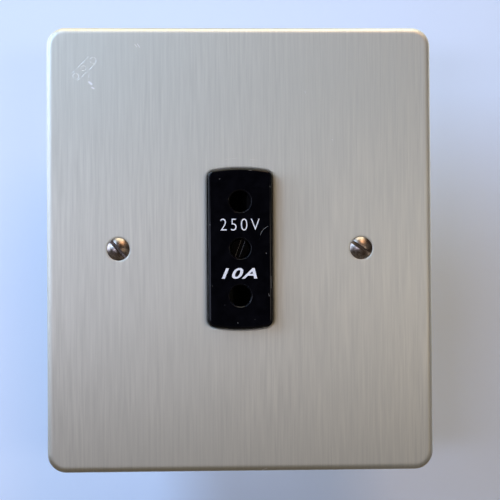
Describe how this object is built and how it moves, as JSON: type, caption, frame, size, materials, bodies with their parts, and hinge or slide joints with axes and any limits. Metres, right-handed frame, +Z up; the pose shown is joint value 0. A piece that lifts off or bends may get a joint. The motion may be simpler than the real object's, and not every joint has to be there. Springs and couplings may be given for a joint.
{
  "type": "two-pole wall power socket with cover plate",
  "caption": "Flush two-pole shuttered wall socket: black face block with round pin holes in a rectangular brushed metal cover plate, with support frame and rear terminals.",
  "frame": {"origin": "middle of the two box screws, on the wall plane where the plate's rim and the support frame's rear face lie", "axes": "+Z up, +X to the right as seen from the room, -Y out of the wall into the room; the rear moulding runs along +Y into the wall box"},
  "size_m": [0.0786, 0.0372, 0.0904],
  "materials": {
    "anodised_plate": "brushed with a vertical grain and anodised a pale champagne grey, scuffed at the upper left",
    "nickel_screw": "nickel plate with a warm tarnish",
    "zinc_sheet": "zinc-plated sheet, dull with faint spangle",
    "zinc_bush": "turned and zinc plated",
    "black_moulding": "glossy black thermoset moulding with small scuffs and specks",
    "shutter_moulding": "smooth black moulding",
    "spring_wire": "bright drawn spring wire",
    "insulating_board": "brown laminated insulating board",
    "base_moulding": "dull black thermoset moulding, faintly mottled",
    "dark_screw": "darkened plated steel with bright edges",
    "brass": "turned brass, slightly dulled",
    "nickel_brass": "nickel-plated brass, worn in the slots",
    "zinc_screw": "zinc plate"
  },
  "bodies": {
    "housing": {"cover_plate": "anodised_plate", "plate_screw_left": "nickel_screw", "plate_screw_right": "nickel_screw", "support_frame": "zinc_sheet", "plate_bush_left": "zinc_bush", "plate_bush_right": "zinc_bush", "socket_front": "black_moulding", "shutter_spring": "spring_wire", "contact_retainer": "insulating_board", "socket_base": "base_moulding", "centre_screw": "dark_screw", "centre_insert": "brass", "contact_upper": "brass", "contact_lower": "brass", "contact_ring_upper": "spring_wire", "contact_ring_lower": "spring_wire", "terminal_screw_upper": "nickel_brass", "terminal_screw_lower": "nickel_brass", "body_screw_upper": "zinc_screw", "body_screw_lower": "zinc_screw", "body_nut_upper": "zinc_screw", "body_nut_lower": "zinc_screw"},
    "shutter": {"shutter": "shutter_moulding"}
  },
  "joints": [
    {"name": "shutter_turn", "type": "hinge", "parent": "housing", "child": "shutter", "pos_m": [0, 0.0013, 0], "axis": [0, 1, 0], "range_deg": [0, 32], "stiffness_Nm_per_rad": 0.006, "springref_deg": -28.65, "deforming": ["shutter_spring"]}
  ]
}
